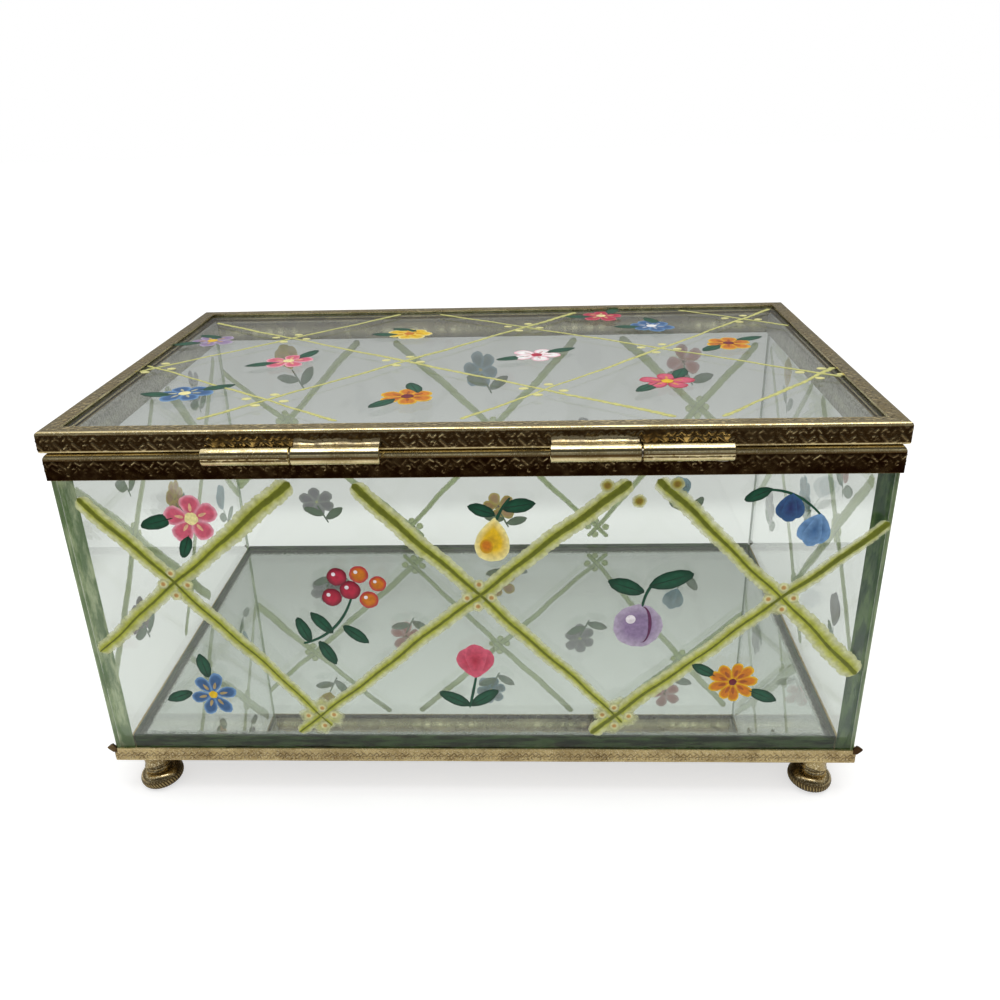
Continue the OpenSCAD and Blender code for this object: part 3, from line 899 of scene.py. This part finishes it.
def build():
    """Makes the channels of the lid, the rim and the base, the knuckles and the feet."""
    strip = brass("lid_brass", (226, 208, 156), (168, 150, 104), (72, 50, 30), 0.18, 0.32)
    base_strip = brass("base_brass", (214, 192, 140), (170, 147, 102), (66, 46, 26), 0.26, 0.4)
    turned = brass("turned_brass", (178, 158, 112), (118, 98, 64), (40, 28, 16), 0.16, 0.3)
    tube = brass("tube_brass", (232, 216, 166), (176, 156, 106), (84, 62, 38), 0.1, 0.2, 0.35)
    t = BRASS
    lid_box, rim_box, base_box = (outline_of(kind + "_channel") for kind in ("lid", "rim", "base"))
    base_box[1][2] = base_box[0][2] + BASE_LIP
    z0, z1 = lid_box[0][2], lid_box[1][2]
    flange = LID_FLANGE
    lid = [(flange, z0, 0, PLAIN, BELOW), (0, z0, SHARP + t, FINE, FIRST), (0, z1, SOFT, FINE, SECOND),
           (flange, z1, 0, PLAIN, SMOOTH), (flange, z1 - t, 0, PLAIN, BACK), (t, z1 - t, SHARP, PLAIN, BACK),
           (t, z0 + t, SHARP, PLAIN, BACK), (flange, z0 + t, 0, PLAIN, SMOOTH)]
    lid_bands = {FIRST: (SCROLL, 0.15, "z", z0, 0.85), SECOND: (VINE, -0.1, "q", -0.4, 0.25),
                 BELOW: (VINE, 0.0, "q", 0.0, 0.7)}
    z0, z1 = rim_box[0][2], rim_box[1][2]
    leg = RIM_WIDTH
    rim = [(0, z0, 0, FINE, FIRST), (0, z1, SHOULDER, PLAIN, SMOOTH), (leg, z1, ROUND + t, PLAIN, BACK),
           (leg, z0, 0, PLAIN, BACK), (leg - t, z0, 0, PLAIN, BACK), (leg - t, z1 - t, ROUND, PLAIN, BACK),
           (t, z1 - t, ROUND, PLAIN, BACK), (t, z0, 0, PLAIN, SMOOTH)]
    rim_bands = {FIRST: (VINE, 0.12, "z", z0 + 0.1, 1.0)}
    z0, z1 = base_box[0][2], base_box[1][2]
    base = [(BASE_FLANGE, z0, 0, PLAIN, SMOOTH), (0, z0, SHARP + t, FINE, FIRST), (0, z1, 0, PLAIN, SMOOTH),
            (t, z1, 0, PLAIN, BACK), (t, z0 + t, SHARP, PLAIN, BACK), (BASE_FLANGE, z0 + t, 0, PLAIN, SMOOTH)]
    base_bands = {FIRST: (CREEPER, -0.08, "z", z0, 0.15)}
    hinges = [(span(f"{kind}_knuckle_{side}")[0][0], span(f"{kind}_knuckle_{side}")[1][0])
              for kind in ("lid", "body") for side in ("left", "right")]
    for number, side in enumerate(SIDES):
        short = number % 2 == 1
        channel(f"lid_channel_{side}", number, lid_box, lid, lid_bands, strip, "lid",
                scorched=hinges if number == 0 else ())
        channel(f"rim_channel_{side}", number, rim_box, rim, rim_bands, strip, "casket", tinned=0.8 * short)
        channel(f"base_channel_{side}", number, base_box, base, base_bands, base_strip, "casket", tabbed=not short)
    for seed, side in enumerate(("left", "right")):
        knuckle(f"lid_knuckle_{side}", tube, "lid", True, 1.95, 0, 0.15, 11 + seed)
        knuckle(f"body_knuckle_{side}", tube, "casket", False, 2.2, 8, 0.9, 31 + seed)
    for side in ("back_left", "back_right", "front_left", "front_right"):
        foot(f"foot_{side}", turned)


def dress(node, finish):
    """Gives a CAD node's own mesh a finish."""
    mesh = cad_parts[node].data
    mesh.materials.clear()
    mesh.materials.append(finish)


def glaze():
    """Finishes the glass plates, the mirror's layers and the hinge pins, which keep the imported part's shapes."""
    face, green, pale_green = (249, 252, 249), (104, 130, 84), (186, 196, 156)
    long_wall = clear_glass("wall_glass_long", 1, face, green, pale_green)
    dress("wall_glass_back", long_wall)
    dress("wall_glass_front", long_wall)
    dress("wall_glass_left", clear_glass("wall_glass_left", 0, face, green, pale_green))
    # The right wall's ground edges are a darker green than the other plates' edges: painted shade
    dress("wall_glass_right", clear_glass("wall_glass_right", 0, face, (26, 66, 36), (90, 118, 68)))
    dress("lid_glass", clear_glass("lid_glass", 2, face, green, pale_green))
    dress("base_mirror_glass", clear_glass("mirror_glass", 2, (250, 252, 250), (14, 36, 22), (72, 100, 58),
                                           (0.13, 0.13, 1.1), 0.92))
    dress("mirror_backing_card", card())
    pin = brass("pin_steel", (190, 186, 178), (140, 134, 126), (70, 62, 54), 0.2, 0.35)
    dress("hinge_pin_left", pin)
    dress("hinge_pin_right", pin)
    low, high = span("mirror_silver")
    middle, half = (low + high) / 2, (high - low) / 2
    rows, columns = 54, 90
    x = np.linspace(-1, 1, columns)[None] * (half[0] - 0.02)
    y = np.linspace(-1, 1, rows)[:, None] * (half[1] - 0.02)
    sheets = [np.stack(np.broadcast_arrays(middle[0] + x, middle[1] + y, z), -1).reshape(-1, 3)
              for z in (high[2] - 0.03, low[2] + 0.02)]
    top = quads(rows, columns)
    spots = np.arange(rows * columns).reshape(rows, columns)
    edge = np.concatenate([spots[0], spots[1:, -1], spots[-1, -2::-1], spots[-2:0:-1, 0]])
    after = np.roll(edge, -1)
    band = np.stack([edge, after, after + spots.size, edge + spots.size], 1)
    piece("silvering", np.concatenate(sheets), np.concatenate([top[:, ::-1], top + spots.size, band]).tolist(),
          silvering(middle, half), "casket", ["mirror_silver"])


# Where the middle of the short walls lies along Y, and how many shapes are set aside for a trellis
SIDE_MIDDLE, OVER_TRELLIS = 1.45, 100


def decorate():
    """Paints a trellis, and a garden over it, on the outer faces of the four walls and the lid.

    A plate has an origin, the ways of u, of v and outwards, what paints its trellis and its garden, and the
    body that it rides on. A garden's undersides start above the most shapes that a trellis has.
    """
    finish = enamel()
    edge, up = span("wall_glass_right")[1][0], (0, 0, 1)
    plates = {
        "back": ((0, span("wall_glass_back")[0][1], 0), (1, 0, 0), up, (0, -1, 0), hinge_trellis, hinge_garden,
                 "casket"),
        "front": ((0, span("wall_glass_front")[1][1], 0), (-1, 0, 0), up, (0, 1, 0), front_trellis, front_garden,
                  "casket"),
        "right": ((edge, SIDE_MIDDLE, 0), (0, 1, 0), up, (1, 0, 0), side_trellis, lambda art: side_garden(art, 1),
                  "casket"),
        "left": ((-edge, SIDE_MIDDLE, 0), (0, -1, 0), up, (-1, 0, 0), side_trellis, lambda art: side_garden(art, 0),
                 "casket"),
        "lid": ((0, 0, span("lid_glass")[1][2]), (1, 0, 0), (0, 1, 0), (0, 0, 1), lid_trellis, lid_garden, "lid"),
    }
    for name, (*place, draw_trellis, draw_garden, body) in plates.items():
        for layer, first, draw in (("trellis", 0, draw_trellis), ("garden", OVER_TRELLIS, draw_garden)):
            art = Enamelling(*place, first)
            draw(art)
            art.make(f"{layer}_{name}", finish, body)


def hinge_trellis(art):
    trellis(art, [((-75.0, 70.8), (-31.0, 17.4), 1), ((-33.5, 73.6), (-77.8, 36.0), 1),
                  ((-21.9, 73.0), (30.6, 18.4), 1), ((30.4, 73.3), (-38.3, 15.5), 1),
                  ((35.4, 73.6), (77.3, 30.5), -1), ((79.0, 64.3), (23.8, 15.5), -1)], 1.75, 0.52, 2.6, 3.6)
    for k, spot in enumerate(((26.1, 72.4), (32.1, 69.2), (39.0, 72.6))):
        dot(art, spot, k, ink(164, 154, 58), ink(128, 104, 34), 1.25)


def hinge_garden(art):
    # Blush wild rose under the left of the rim
    leaves(art, 1, (-57, 66.5, 7, 3.0, 195), (-54.6, 62.8, 5.4, 2.4, -112))
    rosette(art, (-53.5, 66.3), 5, 5.0, 4.4, ROSE, BLUSH, CREAM, 20, 3)
    # Golden pear with two leaves, top middle
    stem(art, [(4.6, 63), (5.2, 67), (8.0, 70.2)], 0.3, 4)
    leaves(art, 5, (6.2, 68, 6.5, 3.0, 8), (5.0, 66.6, 5.5, 2.6, 160))
    art.dab((4.4, 61.5), petal_of((4.9, 66.0), 9.4, 7.4, -96), [GOLD, YELLOW, CREAM], 0.08, 0.1, 2, 0.02)
    art.dab((3.2, 60.4), circle((3.2, 60.0), 1.3, 1.2), [ORANGE, ORANGE, GOLD], 0.2, 0.03, 3)
    # Navy bells on an arched stem, top right
    stem(art, [(53, 70.8), (60, 72.8), (66, 66)], 0.28, 7)
    leaves(art, 8, (56.5, 71.5, 5.5, 2.4, 205))
    bell(art, (66, 66.4), 6.6, 4.2, -104, BLUE, SKY, 9)
    bell(art, (60.4, 70.6), 5.6, 3.6, -94, NAVY, BLUE, 12)
    # Rowan twig with a cluster of small berries, left diamond
    stem(art, [(-35, 38.0), (-27, 40), (-24.0, 49.0)], 0.32, 18)
    for k, (x, z, size) in enumerate(((-24.2, 50.4, 2.1), (-20.6, 48.2, 1.9), (-28.0, 48.8, 2.0), (-22.2, 53.9, 1.9),
                                      (-26.6, 53.4, 2.0), (-18.6, 51.8, 1.7))):
        berry(art, (x, z), size, (RED, ORANGE)[k % 2], (WINE, RED)[k % 2])
    leaves(art, 21, *((x, z, 6.4, 2.6, turn) for x, z, turn in (
        (-33.4, 38.2, 110), (-31.6, 38.6, -62), (-28.6, 40.4, 130), (-26.4, 42.2, -40))))
    # Lavender plum and its leaves, right diamond
    stem(art, [(33.5, 46), (34, 51), (37.5, 53.6)], 0.32, 14)
    leaves(art, 15, (34.7, 51.0, 9.0, 3.8, 18), (33.8, 49.6, 7.6, 3.4, 160))
    berry(art, (32.8, 42.0), 4.9, MAUVE, LAVENDER)
    t = np.linspace(0, math.pi, 24)
    crease = np.stack([33.7 + 1.5 * np.sin(t), 42.3 + 4.1 * np.cos(t)], 1)
    art.stroke(crease, [0.08, 0.3, 0.34, 0.2, 0.06], [PLUM], 0.2, 0.02, 17)
    # Blue star flower, lower left
    leaves(art, 23, (-56, 29.6, 6.0, 2.8, 100), (-60, 26, 6.0, 2.6, 200))
    rosette(art, (-55.6, 25.4), 6, 4.8, 3.0, BLUE, SKY, YELLOW, 10, 25)
    # Red tulip-shaped cup on the lower middle
    stem(art, [(-1.5, 22), (-0.4, 27), (0.2, 30.4)], 0.32, 26)
    leaves(art, 27, (-1.2, 22.6, 7.4, 2.8, 152), (-1.2, 22.6, 7.0, 2.8, 34))
    bell(art, (0.1, 29.6), 7.6, 5.4, 90, RED, ROSE, 29)
    # Marigold, lower right
    leaves(art, 30, (56, 26.5, 6.4, 2.8, -24), (49, 30, 5.6, 2.4, 150))
    rosette(art, (52.6, 28.6), 9, 4.6, 2.6, ORANGE, YELLOW, WINE, 0, 32)


def front_trellis(art):
    trellis(art, [((-74, 71), (-28, 14.8), 1), ((-36, 73.2), (-78, 35), 1), ((-24, 73), (29, 15), 1),
                  ((27, 73.2), (-34, 14.6), 1), ((37, 73.4), (77.6, 32), -1), ((78.4, 66), (22, 15), -1)],
            0.95, 0.4, 2.5, 0)


def front_garden(art):
    tints = ((ROSE, BLUSH, WINE), (BLUE, SKY, YELLOW), (ORANGE, YELLOW, WINE), (MAUVE, LAVENDER, CREAM))
    spots = ((-54, 65), (3, 63.5), (57, 65.5), (-26, 44), (30, 43), (-56, 27), (-1, 24), (54, 26))
    for k, (x, z) in enumerate(spots):
        sprig(art, x, z, k, 3, (2.4, 4.6, 6.4, 2.8, 165 - 20 * (k % 3), 60 + k),
              (1.6, 3.4, 6.2, 2.6, 10 + 14 * (k % 2), 70 + k), (7.0, 4.4, 75) if k % 3 == 2 else None,
              (5 + k % 2, 4.8), tints[k % 4], 80)


def side_trellis(art):
    trellis(art, [((-42, 71), (8, 14.8), 1), ((-6, 73), (-47, 30), 1), ((2, 73), (47, 26), -1),
                  ((44, 71), (-12, 14.8), -1)], 1.3, 0.4, 2.5, 0)


def side_garden(art, shift):
    """The two side walls differ in where their row of tints starts."""
    tints = ((MAUVE, LAVENDER, CREAM), (RED, ROSE, YELLOW), (ORANGE, YELLOW, WINE), (BLUE, SKY, CREAM),
             (PLUM, MAUVE, YELLOW))
    for k, (x, z) in enumerate(((-24, 66), (24, 65.5), (-1, 48), (-32, 32), (29, 32))):
        sprig(art, x, z, k, 2.5, (2.2, 4.6, 6.2, 2.8, 160 - 15 * (k % 3), 90 + k),
              (1.6, 3.6, 6.0, 2.6, 18 + 14 * (k % 2), 95 + k), (7.4, 4.6, 84) if k % 2 else None,
              (5 + k % 3, 4.9), tints[(k + shift) % 5], 100)


def lid_trellis(art):
    lines = [((-73.1, 39.4), (38.9, -42.4), 1), ((-76.2, -2.0), (-24.6, -42.6), 1),
             ((-76.4, -6.8), (-24.0, 46.2), -1), ((-52.0, -40.6), (23.6, 44.8), -1),
             ((-13.2, 45.4), (76.0, -18.2), 1), ((-1.2, -42.4), (75.4, 45.4), -1),
             ((47.4, -42.6), (76.4, -11.4), -1), ((51.0, 45.6), (76.0, 26.4), 1)]
    for k, (a, b, bow) in enumerate(lines):
        half = np.array([0.5, 0.3, 0.5, 0.36, 0.62]) * (1.1, 0.8, 0.95)[k % 3]
        art.stroke(line(a, b, 0.3 * bow, k + 3), half, [ink(190, 188, 100), ink(208, 206, 136), ink(196, 196, 112)],
                   0.02 + 0.012 * (k % 5), 0.05, k, 0.3, 0.35)
    for k, (u, v) in enumerate(crossings(lines)):
        for angle in (75, 165, 255, 345):
            spot = (u, v) + (4.2, 3.6) * heading(angle)
            art.dab(spot, circle(spot, 1.0, 0.75), [ink(226, 222, 150), ink(214, 208, 140)], 0.08, 0.06, k)


def lid_garden(art):
    flowers = [(-60, -24, 6, BLUE, SKY, CREAM), (-44, 0, 5, ROSE, BLUSH, CREAM),
               (-13, -28, 6, ORANGE, YELLOW, WINE), (-19, 24, 7, YELLOW, CREAM, ORANGE),
               (13, 2, 5, WHITE, BLUSH, RED), (40, -20, 5, ROSE, RED, YELLOW), (42, 28, 6, BLUE, SKY, WHITE),
               (-68, 20, 5, MAUVE, LAVENDER, YELLOW), (58, 10, 6, ORANGE, YELLOW, WINE),
               (30, 40, 5, RED, ROSE, CREAM)]
    for k, (u, v, petals, *tints) in enumerate(flowers):
        leaf(art, (u + 2, v + 2), 8, 3.2, 30 + 40 * (k % 4), 120 + k)
        leaf(art, (u - 2, v - 1), 7.6, 3.2, 170 + 30 * (k % 3), 130 + k)
        rosette(art, (u, v), petals, 5.2, 4.2, *tints, 17 * k, 140 + k)


# ---------------------------------------------------------------- studio


WHITE_LIGHT = tone(255, 255, 255)


def studio():
    """A pale floor, a pale surrounding and one broad lamp overhead.

    Seen directly or through glass the surround is white, and it greys upwards behind the glass. What metal
    mirrors is dim at the horizon and brighter overhead, and the floor it mirrors dims away from the box.
    """
    floor = bpy.data.meshes.new("floor")
    wide, under = 2, -2e-5
    floor.from_pydata([(x * wide, y * wide, under) for x, y in ((-1, -1), (1, -1), (1, 1), (-1, 1))], [],
                      [(0, 1, 2, 3)])
    ground = bpy.data.objects.new("floor", floor)
    bpy.context.scene.collection.objects.link(ground)
    f = material("pale_floor")
    x, y, _ = f.parts(f.place())
    away = (abs(x) - 80).math("MAXIMUM", abs(y) - 50).math("MAXIMUM", 0)
    direct, through, mirrored = f.ray("Is Camera Ray"), f.ray("Is Transmission Ray"), f.ray("Is Glossy Ray")
    seen = direct.math("MAXIMUM", through)
    far = away.ramp(24, 140) * mirrored * (1 - seen)
    fall = away.ramp(46, 66, 1.0, 0.76) * away.ramp(60, 150, 1.0, 0.84)
    behind = 1 - through * (1 - fall * 0.9)
    near = f.mix(seen, (232, 230, 226), (188, 188, 188))
    matt = f.node("BsdfDiffuse", {}, {"Color": f.mix(1 - behind, f.mix(far, near, (82, 66, 48)), (0, 0, 0))})
    glow = f.node("Emission", {}, {"Color": WHITE_LIGHT, "Strength": (seen * 0.5 + direct * 0.12) * behind})
    floor.materials.append(f.close(f.node("AddShader", {}, {0: matt, 1: glow})))

    world = bpy.data.worlds.new("surround")
    f = Finish(world)
    _, depth, height = f.parts(f.node("TexCoord", {}, {}, "Generated"))
    direct, through, mirrored = f.ray("Is Camera Ray"), f.ray("Is Transmission Ray"), f.ray("Is Glossy Ray")
    behind = height.ramp(0.4, 0.66, 0.46, 0.74)
    sheen = height.ramp(0.22, 0.8, 0.2, 1.0) * (1 - 0.94 * height.ramp(0.42, 0.56) * (-depth).ramp(0.15, 0.5))
    level = 0.8 * (1 - mirrored) + mirrored * sheen
    level = level * (1 - through) + through * behind
    level = level * (1 - direct) + direct
    f.close(f.node("Background", {}, {"Color": WHITE_LIGHT, "Strength": level}), "OutputWorld")
    bpy.context.scene.world = world

    lamp = bpy.data.lights.new("overhead", "AREA")
    lamp.shape = "RECTANGLE"
    lamp.size, lamp.size_y = 0.6, 0.4
    lamp.energy = 2.0
    hung = bpy.data.objects.new("overhead", lamp)
    hung.location = (0.03, -0.05, 0.75)
    hung.visible_transmission = False
    bpy.context.scene.collection.objects.link(hung)

    bpy.context.scene.view_settings.view_transform = "Standard"


def camera():
    """Camera out in front of the hinge side, which it looks down on: it is turned, tipped and rolled."""
    data = bpy.data.cameras.new("camera")
    data.sensor_width, data.lens = 36, 33.81
    data.shift_x, data.shift_y = 0.0015, 0.0234
    data.clip_start = 0.01
    eye = bpy.data.objects.new("camera", data)
    turn, tip, roll = (math.radians(angle) for angle in (2.799, 90 - 25.241, -1.609))
    eye.matrix_world = (Matrix.Translation([mm * MM for mm in (13.5, -209.3, 141.0)]) @ Matrix.Rotation(turn, 4, "Z")
                        @ Matrix.Rotation(tip, 4, "X") @ Matrix.Rotation(roll, 4, "Z"))
    bpy.context.scene.collection.objects.link(eye)
    bpy.context.scene.camera = eye


camera()
studio()
build()
glaze()
decorate()
